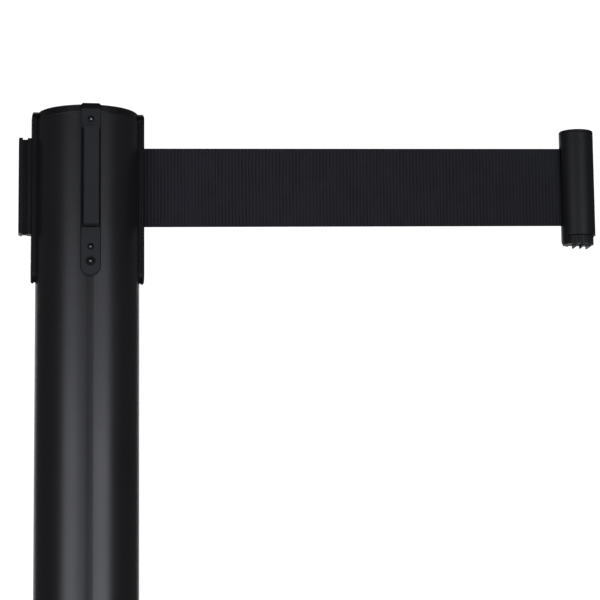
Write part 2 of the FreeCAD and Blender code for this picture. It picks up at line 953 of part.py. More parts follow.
def upright(label, y, inner, outer, low, high):
    """A rod or a tube that stands at the outlet, this far to one side of the belt."""
    body = new_body(label)
    section = sketch_on(body, "XY_Plane", "section", low)
    circle(section, D.outlet_x, y, outer)
    if inner is not None:
        circle(section, D.outlet_x, y, inner)
    pad(body, section, high - low)
    return body


def roller_pins():
    low, high = below_rim(D.frame_bottom), below_rim(D.lid_top + D.lid_thick)
    made = []
    for name, y in (("roller_pin_front", -D.roller_y), ("roller_pin_back", D.roller_y)):
        made.append(upright(name, y, None, D.roller_pin_radius, low, high))
    return group("roller_pins", made)


def guide_roller(label, y):
    bore = D.roller_pin_radius + D.roller_bore_gap
    low, high = below_rim(D.roller_bottom), below_rim(D.roller_top)
    return upright(label, y, bore, D.roller_radius, low, high)


def make_cassette():
    floor_low = below_rim(D.floor_top + D.floor_thick)
    lid_low = below_rim(D.lid_top + D.lid_thick)
    lid_top = below_rim(D.lid_top)
    drum_low, drum_top = below_rim(D.drum_bottom), below_rim(D.drum_top)
    arbor_low, arbor_top = below_rim(D.spring_bottom), below_rim(D.spring_top)
    return [
        cassette_wall(),
        ring("cassette_floor", D.axle_radius, SHELL_RADIUS, floor_low, below_rim(D.floor_top)),
        ring("cassette_lid", D.axle_radius, SHELL_RADIUS, lid_low, lid_top),
        disc("spool_axle", D.axle_radius, floor_low, lid_top - floor_low),
        ring("spring_arbor", D.axle_radius, D.arbor_radius, arbor_low, arbor_top),
        ring("brake_drum", D.drum_inner, SHELL_INNER, drum_low, drum_top),
        outlet_frame(),
        roller_pins(),
    ]


# ---------------------------------------------------------------- spool, spring and brake


def spool_bushings():
    low, high = below_rim(BELT_BOTTOM + D.flange_clear), below_rim(BELT_TOP - D.flange_clear)
    bore = D.axle_radius + D.fit_gap
    made = [
        ring("spool_bushing_lower", bore, D.hub_bore, low, low + D.bushing_length),
        ring("spool_bushing_upper", bore, D.hub_bore, high - D.bushing_length, high),
    ]
    return group("spool_bushings", made)


def clock_spring():
    """A flat spiral band in half turns, from the arbor out to the spring case."""
    up = FreeCAD.Vector(0, 0, 1)
    half_band = SIZES["spring_band"] / 2
    pitch = SIZES["spring_pitch"]
    first = SIZES["arbor_radius"] + SIZES["belt_clear"] + half_band + pitch / 4
    low = SIZES["rim_height"] - SIZES["spring_bottom"]
    high = SIZES["rim_height"] - SIZES["spring_top"]

    def spiral(shift):
        """The half turns of one face of the band: their centres take turns about the axis."""
        arcs = []
        for i in range(2 * SPRING_TURNS):
            side = 1 if i % 2 == 0 else -1
            radius = first + i * pitch / 2 + shift
            middle = FreeCAD.Vector(-side * pitch / 4, 0, low)
            start = middle + FreeCAD.Vector(side * radius, 0, 0)
            top = middle + FreeCAD.Vector(0, side * radius, 0)
            stop = middle - FreeCAD.Vector(side * radius, 0, 0)
            arcs.append(Part.Arc(start, top, stop).toShape())
        return arcs

    inner, outer = spiral(-half_band), spiral(half_band)
    ends = []
    for index, end in ((0, 0), (-1, -1)):
        a = inner[index].Vertexes[end].Point
        b = outer[index].Vertexes[end].Point
        ends.append(Part.LineSegment(a, b).toShape())
    wire = Part.Wire(Part.__sortEdges__(inner + outer + ends))
    made = doc.addObject("Part::Feature", "clock_spring")
    made.Shape = Part.Face(wire).extrude(up * (high - low))
    made.Placement = FreeCAD.Placement()
    return made


def brake_hub():
    """The hub that carries the shoes on two ears, one on each side."""
    bore = D.axle_radius + D.fit_gap
    top = below_rim(D.case_bottom + D.case_lid_thick)
    body = ring("brake_hub", bore, D.brake_hub_radius, below_rim(D.brake_bottom), top)
    angle = math.radians(SIZES["shoe_pin_angle"])
    away_x, away_y = math.cos(angle), math.sin(angle)
    half = D.ear_radius
    tip_x, tip_y = D.shoe_pin_at * away_x, D.shoe_pin_at * away_y
    foot_x, foot_y = D.ear_foot * away_x, D.ear_foot * away_y
    side_x, side_y = half * away_y, half * away_x
    corners = [
        (foot_x + side_x, foot_y - side_y),
        (tip_x + side_x, tip_y - side_y, tip_x, tip_y, 1),
        (tip_x - side_x, tip_y + side_y),
        (foot_x - side_x, foot_y + side_y),
    ]
    ear = outline(sketch_on(body, "XY_Plane", "ear", top), corners)
    polar(body, pad(body, ear, D.ear_thick, backwards=True), 2)
    bores = sketch_on(body, "XY_Plane", "bores")
    circle(bores, 0, 0, bore)
    circle(bores, tip_x, tip_y, D.shoe_pin_radius)
    circle(bores, -tip_x, -tip_y, D.shoe_pin_radius)
    pocket(body, bores)
    return body


def shoe_pins():
    angle = math.radians(SIZES["shoe_pin_angle"])
    low, high = below_rim(D.shoe_bottom), below_rim(D.case_bottom + D.case_lid_thick)
    made = []
    for name, sign in (("shoe_pin_front", 1), ("shoe_pin_back", -1)):
        body = new_body(name)
        section = sketch_on(body, "XY_Plane", "section", low)
        x = D.shoe_pin_at * (sign * math.cos(angle))
        y = D.shoe_pin_at * (sign * math.sin(angle))
        circle(section, x, y, D.shoe_pin_radius)
        pad(body, section, high - low)
        made.append(body)
    return group("shoe_pins", made)


def sector(label, inner, outer, half_angle, low, high, bored=False):
    """A block bent round the axle, on the +X side."""
    body = new_body(label)
    cos, sin = math.cos(math.radians(half_angle)), math.sin(math.radians(half_angle))
    corners = [
        (inner * cos, inner * -sin),
        (outer * cos, outer * -sin, ZERO, ZERO, 1),
        (outer * cos, outer * sin),
        (inner * cos, inner * sin, ZERO, ZERO, -1),
    ]
    section = outline(sketch_on(body, "XY_Plane", "section", low), corners)
    pad(body, section, high - low)
    if bored:
        angle = math.radians(SIZES["shoe_pin_angle"])
        bore = sketch_on(body, "XY_Plane", "pin_bore")
        x, y = D.shoe_pin_at * math.cos(angle), D.shoe_pin_at * math.sin(angle)
        circle(bore, x, y, D.shoe_pin_radius + D.fit_gap)
        pocket(body, bore)
    return body


def brake_pair(side, angle):
    """One shoe with its lining; the other pair is the same, half a turn round."""
    low, high = below_rim(D.shoe_bottom), below_rim(D.shoe_top)
    shoe = sector(
        f"brake_shoe_{side}",
        D.shoe_inner,
        D.shoe_outer,
        SIZES["shoe_half_angle"],
        low,
        high,
        bored=True,
    )
    lining = sector(
        f"brake_lining_{side}",
        D.shoe_outer,
        D.lining_outer,
        SIZES["lining_half_angle"],
        low,
        high,
    )
    return [turn_about_post(piece, angle) for piece in (shoe, lining)]


def make_spool():
    hub_low = below_rim(BELT_BOTTOM + D.flange_clear)
    hub_high = below_rim(BELT_TOP - D.flange_clear)
    bore = D.axle_radius + D.axle_clear
    case_low = below_rim(D.case_bottom)
    flange_low = hub_low - D.flange_thick
    flange_high = hub_high + D.flange_thick
    lid_low = case_low - D.case_lid_thick
    rim = D.flange_radius
    pieces = [
        ring("spool_hub", D.hub_bore, D.hub_radius, hub_low, hub_high),
        ring("spool_flange_upper", bore, rim, hub_high, flange_high),
        ring("spool_flange_lower", bore, rim, flange_low, hub_low),
        spool_bushings(),
        ring("spring_case", rim - D.case_wall, rim, case_low, flange_low),
        ring("spring_case_lid", bore, rim, lid_low, case_low),
        clock_spring(),
        brake_hub(),
        shoe_pins(),
    ]
    return pieces + brake_pair("right", 0) + brake_pair("left", 180)


# ---------------------------------------------------------------- belt and belt end


def belt_feed():
    """The run of belt from the roll to the outlet: off the roll and round the back roller."""
    half = SIZES["belt_thick"] / 2
    roll = SIZES["belt_roll_radius"] + SIZES["belt_clear"] + half
    bend = SIZES["roller_y"]
    centre = FreeCAD.Vector(SIZES["outlet_x"], SIZES["roller_y"], 0)
    turn = math.atan2(centre.y, centre.x) + math.acos((roll + bend) / centre.Length)
    away = FreeCAD.Vector(math.cos(turn), math.sin(turn), 0)
    last = -math.pi / 2 - SIZES["belt_clear"] / bend
    low = SIZES["rim_height"] - SIZES["belt_centre_depth"] - SIZES["belt_width"] / 2
    lift = FreeCAD.Vector(0, 0, low)

    def face(shift):
        """The run's path, moved sideways: a straight stretch, then an arc round the roller."""
        radius = bend + shift
        start = away * (roll - shift) + lift
        meet = centre - away * radius + lift
        angles = (turn - math.pi, (turn - math.pi + last) / 2, last)
        on_arc = [centre + lift for _ in angles]
        for i, angle in enumerate(angles):
            on_arc[i] += FreeCAD.Vector(math.cos(angle), math.sin(angle), 0) * radius
        straight = Part.LineSegment(start, meet).toShape()
        return straight, Part.Arc(meet, on_arc[1], on_arc[2]).toShape(), start, on_arc[2]

    near, far = face(-half), face(half)
    ends = [Part.LineSegment(near[i], far[i]).toShape() for i in (2, 3)]
    wire = Part.Wire(Part.__sortEdges__([near[0], near[1], far[0], far[1]] + ends))
    made = doc.addObject("Part::Feature", "belt_feed")
    made.Shape = Part.Face(wire).extrude(FreeCAD.Vector(0, 0, SIZES["belt_width"]))
    made.Placement = FreeCAD.Placement()
    return made


def belt_span():
    body = new_body("belt_span")
    section = sketch_on(body, "XY_Plane", "section", -HALF_BELT)
    half = D.belt_thick / 2
    stop = D.barrel_distance + D.pin_x - D.loop_tail
    rectangle(section, D.belt_clear, -half, stop - D.belt_joint_gap, half)
    pad(body, section, D.belt_width)
    body.Placement = belt_line()
    return body


def belt_loop():
    """The end of the belt, sewn back on itself round the barrel's pin."""
    body = new_body("belt_loop")
    half = D.belt_thick / 2
    meet = root(D.loop_outer * D.loop_outer - half * half)
    section = sketch_on(body, "XY_Plane", "section", -HALF_BELT)
    tail = D.pin_x - D.loop_tail
    corners = [
        (tail, half),
        (tail, -half),
        (D.pin_x - meet, -half, D.pin_x, ZERO, 1),
        (D.pin_x - meet, half),
    ]
    outline(section, corners)
    circle(section, D.pin_x, 0, D.loop_inner)
    pad(body, section, D.belt_width)
    return at_belt_end(body)


def barrel():
    edge = D.barrel_edge
    skirt_foot = -D.ring_bottom
    corners = [
        (ZERO, -D.barrel_bottom),
        (D.skirt_inner, -D.barrel_bottom),
        (D.skirt_inner, skirt_foot),
        (D.barrel_radius - D.skirt_edge, skirt_foot),
        (D.barrel_radius, skirt_foot + D.skirt_rise),
        (D.barrel_radius, D.barrel_top - edge),
        (D.barrel_radius - edge, D.barrel_top),
        (ZERO, D.barrel_top),
    ]
    body = turned("barrel", corners)
    outer = D.barrel_radius + 1
    away = sketch_on(body, "XY_Plane", "skirt_end", skirt_foot - 1)
    rectangle(away, -D.skirt_from, -outer, outer, outer)
    pocket(body, away, D.ring_bottom + 1 - D.barrel_bottom)
    dock = sketch_on(body, "XY_Plane", "dock", -(D.barrel_bottom + 1))
    stem = D.dock_stem_half
    corners = [
        (outer, -stem),
        (outer, stem),
        (D.dock_lip_x, stem),
        (D.dock_lip_x, D.dock_half),
        (D.dock_inner_x, D.dock_half),
        (D.dock_inner_x, -D.dock_half),
        (D.dock_lip_x, -D.dock_half),
        (D.dock_lip_x, -stem),
    ]
    pocket(body, outline(dock, corners), D.barrel_bottom + 1 + D.dock_top)
    bag = sketch_on(body, "XY_Plane", "belt_pocket", -D.pocket_half_height)
    mouth = D.pocket_mouth_half
    corners = [
        (D.pin_x, -D.pocket_radius, D.pin_x, ZERO, 1),
        (D.pin_x, D.pocket_radius),
        (-outer, mouth),
        (-outer, -mouth),
    ]
    pocket(body, outline(bag, corners), D.pocket_half_height * 2)
    bore = sketch_on(body, "XY_Plane", "pin_bore", -D.pin_half_length)
    pocket(body, circle(bore, D.pin_x, 0, D.pin_radius), D.pin_half_length + D.barrel_top + 1)
    screw = sketch_on(body, "XY_Plane", "screw_bore", -D.lock_shank_top)
    pocket(body, circle(screw, 0, 0, D.lock_shank_radius), outer, forwards=False)
    return at_belt_end(body)


def barrel_cap():
    top = D.barrel_top + D.barrel_cap_thick
    edge = D.barrel_edge * 2
    corners = [
        (ZERO, D.barrel_top),
        (D.barrel_radius, D.barrel_top),
        (D.barrel_radius, top - edge, D.barrel_radius - edge, top - edge, 1),
        (D.barrel_radius - edge, top),
        (ZERO, top),
    ]
    return at_belt_end(turned("barrel_cap", corners))


def barrel_pin():
    body = new_body("barrel_pin")
    section = sketch_on(body, "XY_Plane", "section", -D.pin_half_length)
    pad(body, circle(section, D.pin_x, 0, D.pin_radius), D.pin_half_length * 2)
    return at_belt_end(body)


def lock_ring():
    """The ribbed ring under the barrel, with three grip bars underneath. Its gap lets a tongue
    through once it is turned."""
    corners = [
        (D.ring_bore, -D.ring_recess_top),
        (D.ring_recess_radius, -D.ring_recess_top),
        (D.ring_recess_radius, -D.ring_bottom),
        (D.ring_radius, -D.ring_bottom),
        (D.ring_radius, -D.ring_top),
        (D.ring_bore, -D.ring_top),
    ]
    body = turned("lock_ring", corners)
    foot = -(D.ring_bottom + D.bar_height)
    for number in range(BAR_COUNT):
        bar = sketch_on(body, "XY_Plane", f"bar_{number}", foot)
        x = D.bar_first_x + D.bar_spacing * number
        reach = root(D.bar_reach * D.bar_reach - x * x)
        rectangle(bar, x - D.bar_half_width, -reach, x + D.bar_half_width, reach)
        pad(body, bar, D.bar_height)
    well = sketch_on(body, "XY_Plane", "well", foot)
    pocket(body, circle(well, 0, 0, D.ring_recess_radius), D.bar_height)
    gap = sketch_on(body, "XY_Plane", "gap", foot)
    half = D.ring_gap_half
    rectangle(gap, -half, D.ring_gap_inner, half, D.ring_radius + 1)
    pocket(body, gap, D.ring_bottom)
    rib = sketch_on(body, "XY_Plane", "rib", foot)
    circle(rib, 0, -D.ring_radius, D.ring_rib_radius)
    polar(body, pocket(body, rib, D.ring_bottom), RIB_COUNT)
    return at_belt_end(body)


def lock_screw():
    corners = [
        (ZERO, -D.lock_head_bottom),
        (D.lock_head_radius - D.lock_head_edge, -D.lock_head_bottom),
        (D.lock_head_radius, D.lock_head_edge - D.lock_head_bottom),
        (D.lock_head_radius, -D.lock_head_top),
        (D.lock_shoulder_radius, -D.lock_head_top),
        (D.lock_shoulder_radius, -D.barrel_bottom),
        (D.lock_shank_radius, -D.barrel_bottom),
        (D.lock_shank_radius, -D.lock_shank_top),
        (ZERO, -D.lock_shank_top),
    ]
    return at_belt_end(turned("lock_screw", corners))


def make_belt():
    low, high = below_rim(BELT_BOTTOM), below_rim(BELT_TOP)
    return [
        ring("belt_roll", D.hub_radius, D.belt_roll_radius, low, high),
        belt_feed(),
        guide_roller("guide_roller_front", -D.roller_y),
        guide_roller("guide_roller_back", D.roller_y),
        belt_span(),
        belt_loop(),
        barrel(),
        barrel_cap(),
        barrel_pin(),
        lock_ring(),
        lock_screw(),
    ]


# ---------------------------------------------------------------- check and write


def check_document(pieces):
    doc.recompute()
    for thing in doc.Objects:
        bad = [state for state in thing.State if state in ("Invalid", "Error")]
        assert not bad, f"{thing.Label}: {thing.State}"
    for thing in doc.Objects:
        if thing.TypeId == "PartDesign::Pocket":
            before = thing.BaseFeature.Shape.Volume
            assert thing.Shape.Volume < before - NO_VOLUME, f"{thing.Label} cuts nothing"
    for piece in pieces:
        shape = piece.Shape
        assert not shape.isNull(), f"{piece.Label} is empty"
        assert shape.isValid(), f"{piece.Label} is not valid"
        assert shape.Solids, f"{piece.Label} has no solid"


def write_pieces(pieces):
    os.makedirs("parts", exist_ok=True)
    for piece in pieces:
        piece.Shape.exportStep(f"parts/{piece.Label}.step")
        solids = len(piece.Shape.Solids)
        print(f"{piece.Label}: {solids} solid, {piece.Shape.Volume / 1000:.2f} cm3")


pieces = make_base() + make_head() + make_cassette() + make_spool() + make_belt()
check_document(pieces)
write_pieces(pieces)
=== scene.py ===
"""Looks for the retractable belt stanchion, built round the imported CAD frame. Metres throughout."""

import json
import math

import bpy
from mathutils import Matrix, Vector, noise


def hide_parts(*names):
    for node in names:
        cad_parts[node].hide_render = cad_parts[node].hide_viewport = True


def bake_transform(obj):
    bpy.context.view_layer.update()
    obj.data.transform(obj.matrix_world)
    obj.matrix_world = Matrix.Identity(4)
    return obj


MM = 0.001

# the belt's line, as the CAD has it: where it leaves the post, its direction and the belt's size
PIVOT = Vector((0.027, 0.0, 0.9677))
LINE_YAW = math.radians(-3.02)
LINE_LIFT = math.radians(0.571)
BELT_WIDTH = 49.4 * MM
BELT_HALF_THICK = 0.25 * MM
# how far along that line the webbing reaches
BELT_STARTS = -2.0 * MM
BELT_ENDS = 270.0 * MM

# the weave: cords that run across the belt's width, and firm woven edges above and below
RIB_PITCH = 2.1 * MM
RIB_DEPTH = 0.13 * MM
RIB_WANDER = 0.25
WANDER_ALONG, WANDER_UP, WANDER_SLICE = 60.0, 45.0, 3.0
RIB_LEFT_AT_EDGE = 0.4
YARN_PITCH = 0.75 * MM
SELVEDGE = 1.6 * MM
SELVEDGE_SWELL = 0.015 * MM
RIM = 0.2 * MM
RIM_SHARE = 0.45
COLUMNS_IN_A_RIB = 8
ROWS_ACROSS = 16
ROWS_AT_EDGE = (0.0, 0.25 * MM, 0.8 * MM, 1.6 * MM)

# places on the object where a finish changes
# heights of the screws' recesses, where bright steel is painted in as their glint: a painted
# highlight
SCREW_LEVELS = (1.0029, 0.9250, 0.9164)
# the strips' fold, above which their plastic is painted darker: painted shade
STRIP_FOLD = 1.0092
FOLD_EASE = 0.3 * MM
# the stretch beside the outlet where the dark groove lines are painted strongest: painted shade
OUTLET_PAINTED_SHADE = (0.040, 0.046)
# the stretch of belt over which its colour is painted darker and cooler: painted shade
PAINTED_SHADE_ALONG_BELT = (0.05, 0.30)

# the camera stands in front of the post, below its head, and looks up at it
CAMERA_PLACE = (-0.073847, -1.340894, 0.709146)
CAMERA_YAW, CAMERA_PITCH, CAMERA_ROLL = 0.152, 0.139, -0.010
LENS = 132.48
SENSOR = 36.0

# the lamps: name, place, aim, width, height, radiance, tint
HEAD = (0.0, 0.0, 0.85)
TUBE = (0.0, 0.0, 0.65)
COOL = (0.95, 0.965, 1.06)
WHITE = (1.0, 1.0, 1.0)
LAMPS = (
    ("softbox_left", (-0.99, -1.33, 0.52), TUBE, 1.08, 1.15, 2.9, COOL),
    ("softbox_right", (0.85, -1.45, 0.52), TUBE, 0.98, 1.15, 3.3, COOL),
    ("softbox_front", (-0.08, -2.3, 0.62), TUBE, 1.1, 1.15, 0.5, COOL),
    ("softbox_top", (-0.2, 0.2, 2.6), HEAD, 1.6, 1.6, 1.2, WHITE),
    ("backdrop", (0.1, 3.0, 1.2), HEAD, 3.2, 2.4, 0.95, WHITE),
)
WORLD_SEEN = (1.0, 1.0, 1.0, 1.0), 1.1
WORLD_FILL = (0.95, 0.97, 1.0, 1.0), 0.08

# painted, cast and moulded finishes: colour, roughness, grain (grains in a metre, depth in
# millimetres), and what else paint() takes
PAINTS = {
    "powder_coat": {
        "colour": (0.0105, 0.0105, 0.0115),
        "rough": 0.33,
        "grain": (1400, 0.012),
        "edge": 0.9 * MM,
    },
    "cast_iron": {
        "colour": (0.07, 0.07, 0.072),
        "rough": 0.7,
        "grain": (700, 0.25),
        "metallic": 0.6,
        "uneven": 0.3,
    },
    "floor_rubber": {"colour": (0.02, 0.02, 0.02), "rough": 0.8, "grain": (1800, 0.08)},
    "head_plastic": {
        "colour": (0.0118, 0.0123, 0.0142),
        "rough": 0.42,
        "grain": (3200, 0.02),
        "edge": 0.15 * MM,
        "level": 0.42,
        "fold": STRIP_FOLD,
    },
    # a darker copy of head_plastic for the side strips: painted shade on the same plastic as the
    # front strips
    "shaded_side_plastic": {
        "colour": (0.0052, 0.0055, 0.0060),
        "rough": 0.40,
        "grain": (3200, 0.02),
        "level": 0.25,
        "fold": STRIP_FOLD,
    },
    "cap_plastic": {
        "colour": (0.006, 0.006, 0.007),
        "rough": 0.24,
        "grain": (3200, 0.01),
        "edge": 0.5 * MM,
    },
    "end_plastic": {
        "colour": (0.0078, 0.0082, 0.0095),
        "rough": 0.42,
        "grain": (3000, 0.015),
        "edge": 0.2 * MM,
        "level": 0.33,
    },
    "cassette_plastic": {"colour": (0.035, 0.035, 0.04), "rough": 0.5, "grain": (2600, 0.02)},
    "spool_plastic": {"colour": (0.62, 0.61, 0.56), "rough": 0.45, "grain": (2600, 0.02)},
    "nylon": {"colour": (0.72, 0.71, 0.65), "rough": 0.35, "grain": (2600, 0.01)},
    "brake_lining": {
        "colour": (0.11, 0.07, 0.05),
        "rough": 0.85,
        "grain": (2400, 0.1),
        "uneven": 0.3,
    },
}
# bare metals: the drawn lines run along the axes with the small numbers
METALS = {
    "zinc_steel": {"colour": (0.55, 0.55, 0.54), "rough": 0.3, "stretch": (1.0, 1.0, 0.05)},
    "spring_steel": {"colour": (0.22, 0.24, 0.29), "rough": 0.35, "stretch": (0.05, 0.05, 1.0)},
    "brake_alloy": {"colour": (0.5, 0.5, 0.51), "rough": 0.45, "stretch": (1.0, 1.0, 1.0)},
}
# pieces whose finish isn't their slot's
OWN_FINISHES = {
    "top_cap": "cap_plastic",
    # the left receiver and the outlet strip take the darker copy of the head plastic, which is
    # painted shade
    "receiver_left": "shaded_side_plastic",
    "outlet_strip": "shaded_side_plastic",
}
SCUFF_TONE = 1.5
SCUFF_ROUGHNESS = 0.08
# how dark the painted shade above the strips' fold is
FOLD_PAINTED_SHADE = 0.2
FOLD_SMOOTHNESS = 0.16

# the floor's disc, and the ring over which it thins out
FLOOR_RADIUS = 1.5
FLOOR_SIDES = 96
FLOOR_FADE = (0.30, 1.25)
FLOOR_COVER = 0.7


# ---------------------------------------------------------------- camera and studio


def link(thing):
    bpy.context.scene.collection.objects.link(thing)


def make_camera():
    forward = Vector(
        (
            math.sin(CAMERA_YAW) * math.cos(CAMERA_PITCH),
            math.cos(CAMERA_YAW) * math.cos(CAMERA_PITCH),
            math.sin(CAMERA_PITCH),
        )
    )
    level = Vector((math.cos(CAMERA_YAW), -math.sin(CAMERA_YAW), 0.0))
    upright = level.cross(forward)
    right = level * math.cos(CAMERA_ROLL) + upright * math.sin(CAMERA_ROLL)
    up = upright * math.cos(CAMERA_ROLL) - level * math.sin(CAMERA_ROLL)
    data = bpy.data.cameras.new("camera")
    data.lens = LENS
    data.sensor_width = SENSOR
    data.clip_start = 0.05
    data.clip_end = 60.0
    camera = bpy.data.objects.new("camera", data)
    link(camera)
    turn = Matrix((right, up, -forward)).transposed().to_4x4()
    camera.matrix_world = Matrix.Translation(CAMERA_PLACE) @ turn
    bpy.context.scene.camera = camera


def softbox(name, place, aim, width, height, radiance, tint):
    """A rectangular lamp whose face has this radiance, aimed at a point."""
    data = bpy.data.lights.new(name, "AREA")
    data.shape = "RECTANGLE"
    data.size = width
    data.size_y = height
    data.energy = radiance * math.pi * width * height
    data.color = tint
    lamp = bpy.data.objects.new(name, data)
    link(lamp)
    lamp.location = place
    lamp.rotation_mode = "QUATERNION"
    lamp.rotation_quaternion = (Vector(aim) - Vector(place)).to_track_quat("-Z", "Y")
    lamp.visible_camera = False


def make_world():
    """White to look at, and a dim fill as light, so that the black object keeps its shape."""
    world = bpy.data.worlds.new("studio")
    world.use_nodes = True
    nodes, links = world.node_tree.nodes, world.node_tree.links
    nodes.clear()
    out = nodes.new("ShaderNodeOutputWorld")
    path = nodes.new("ShaderNodeLightPath")
    mix = nodes.new("ShaderNodeMixShader")
    links.new(path.outputs["Is Camera Ray"], mix.inputs[0])
    for slot, (colour, strength) in ((1, WORLD_FILL), (2, WORLD_SEEN)):
        background = nodes.new("ShaderNodeBackground")
        background.inputs["Color"].default_value = colour
        background.inputs["Strength"].default_value = strength
        links.new(background.outputs[0], mix.inputs[slot])
    links.new(mix.outputs[0], out.inputs["Surface"])
    bpy.context.scene.world = world


def make_studio():
    make_world()
    for row in LAMPS:
        softbox(*row)
    bpy.context.scene.view_settings.view_transform = "Standard"


def make_floor():
    """A pale floor under the post, which thins out into the white round it."""
    bpy.ops.mesh.primitive_circle_add(vertices=FLOOR_SIDES, radius=FLOOR_RADIUS, fill_type="NGON")
    floor = bpy.context.object
    floor.name = "floor"
    floor.data.materials.append(fading_floor())


# ---------------------------------------------------------------- materials


class Tree:
    """Short ways to wire a material's nodes, placed by the object's own coordinates."""

    def __init__(self, name):
        self.material = bpy.data.materials.new(name)
        self.material.use_nodes = True
        self.nodes = self.material.node_tree.nodes
        self.links = self.material.node_tree.links
        self.shader = self.nodes["Principled BSDF"]
        self.place = self.nodes.new("ShaderNodeTexCoord").outputs["Object"]

    def put(self, value, socket):
        """Wires a socket to another, or sets its number or colour."""
        if isinstance(value, bpy.types.NodeSocket):
            self.links.new(value, socket)
        else:
            socket.default_value = value

    def math(self, operation, a, b=0.0):
        node = self.nodes.new("ShaderNodeMath")
        node.operation = operation
        self.put(a, node.inputs[0])
        self.put(b, node.inputs[1])
        return node.outputs[0]

    def times(self, a, b):
        return self.math("MULTIPLY", a, b)

    def axes(self):
        """The three coordinates of the place, one by one."""
        node = self.nodes.new("ShaderNodeSeparateXYZ")
        self.put(self.place, node.inputs[0])
        return node.outputs

    def stretched(self, scale):
        node = self.nodes.new("ShaderNodeMapping")
        node.inputs["Scale"].default_value = scale
        self.put(self.place, node.inputs["Vector"])
        return node.outputs[0]

    def noise(self, scale, detail=3.0, rough=0.5, place=None):
        node = self.nodes.new("ShaderNodeTexNoise")
        node.inputs["Scale"].default_value = scale
        node.inputs["Detail"].default_value = detail
        node.inputs["Roughness"].default_value = rough
        self.put(place or self.place, node.inputs["Vector"])
        return node.outputs["Fac"]

    def remap(self, value, low, high, to_low, to_high):
        node = self.nodes.new("ShaderNodeMapRange")
        self.put(value, node.inputs["Value"])
        limits = zip(("From Min", "From Max", "To Min", "To Max"), (low, high, to_low, to_high))
        for name, number in limits:
            self.put(number, node.inputs[name])
        return node.outputs["Result"]

    def blend(self, shade_share, a, b):
        node = self.nodes.new("ShaderNodeMix")
        node.data_type = "RGBA"
        self.put(shade_share, node.inputs["Factor"])
        for name, value in (("A", a), ("B", b)):
            socket = [s for s in node.inputs if s.name == name and s.type == "RGBA"][0]
            self.put(value, socket)
        return [s for s in node.outputs if s.type == "RGBA"][0]

    def smallest(self, *values):
        least = values[0]
        for value in values[1:]:
            least = self.math("MINIMUM", least, value)
        return least

    def softened(self, radius):
        """The surface's normal, eased over its edges as moulding and paint round them."""
        node = self.nodes.new("ShaderNodeBevel")
        node.samples = 6
        node.inputs["Radius"].default_value = radius
        return node.outputs["Normal"]

    def bump(self, height, distance, strength=1.0, under=None):
        node = self.nodes.new("ShaderNodeBump")
        node.inputs["Strength"].default_value = strength
        node.inputs["Distance"].default_value = distance
        self.put(height, node.inputs["Height"])
        if under is not None:
            self.put(under, node.inputs["Normal"])
        return node.outputs["Normal"]

    def finish(self, tone, gloss, normal, metallic=0.0, level=0.5):
        """Wires the shader and gives back the material. level is the specular level."""
        self.put(tone, self.shader.inputs["Base Color"])
        self.put(gloss, self.shader.inputs["Roughness"])
        self.put(metallic, self.shader.inputs["Metallic"])
        self.put(normal, self.shader.inputs["Normal"])
        self.shader.inputs["Specular IOR Level"].default_value = level
        return self.material


def rgba(colour, gain=1.0):
    return tuple(c * gain for c in colour) + (1.0,)


def paint(name, colour, rough, grain, metallic=0.0, uneven=0.12, edge=0.0, level=0.5, fold=None):
    """A finish with a fine surface grain, slow changes of tone and gloss, and faint scuffs.
    edge rounds the sharp edges, level is the specular level, and a moulding is smoother above
    the height of its fold and darker there with painted shade."""
    tree = Tree(name)
    slow = tree.noise(14.0, detail=4.0)
    fine = tree.noise(grain[0], detail=2.0)
    upright = tree.stretched((1.0, 1.0, 0.22))
    scuffs = tree.noise(90.0, detail=6.0, rough=0.7, place=upright)
    worn = tree.remap(scuffs, 0.62, 0.80, 0.0, 0.5)
    tone = tree.blend(slow, rgba(colour, 1 - uneven), rgba(colour, 1 + uneven))
    tone = tree.blend(worn, tone, rgba(colour, SCUFF_TONE))
    gloss = tree.remap(slow, 0.3, 0.7, rough * 0.92, rough * 1.08)
    gloss = tree.math("ADD", gloss, tree.times(worn, SCUFF_ROUGHNESS))
    if fold:
        height = tree.axes()[2]
        # above the strips' fold the tone is painted darker, which is painted shade; the finish there
        # is also smoother
        painted_shade_above = tree.remap(height, fold - FOLD_EASE, fold + FOLD_EASE, 0.0, 1.0)
        tone = tree.blend(painted_shade_above, tone, rgba(colour, FOLD_PAINTED_SHADE))
        gloss = tree.math("SUBTRACT", gloss, tree.times(painted_shade_above, FOLD_SMOOTHNESS))
    under = tree.softened(edge) if edge else None
    normal = tree.bump(fine, grain[1] * MM, under=under)
    return tree.finish(tone, gloss, normal, metallic, level)


def fading_floor():
    tree = Tree("floor")
    slow = tree.noise(3.0, detail=4.0)
    tone = tree.blend(slow, (0.80, 0.80, 0.79, 1.0), (0.86, 0.86, 0.86, 1.0))
    length = tree.nodes.new("ShaderNodeVectorMath")
    length.operation = "LENGTH"
    tree.put(tree.place, length.inputs[0])
    fade = tree.remap(length.outputs["Value"], *FLOOR_FADE, 1.0, 0.0)
    cover = tree.times(tree.times(fade, fade), FLOOR_COVER)
    tree.put(cover, tree.shader.inputs["Alpha"])
    normal = tree.bump(tree.noise(60.0, detail=2.0), 0.02 * MM)
    return tree.finish(tone, 0.6, normal)


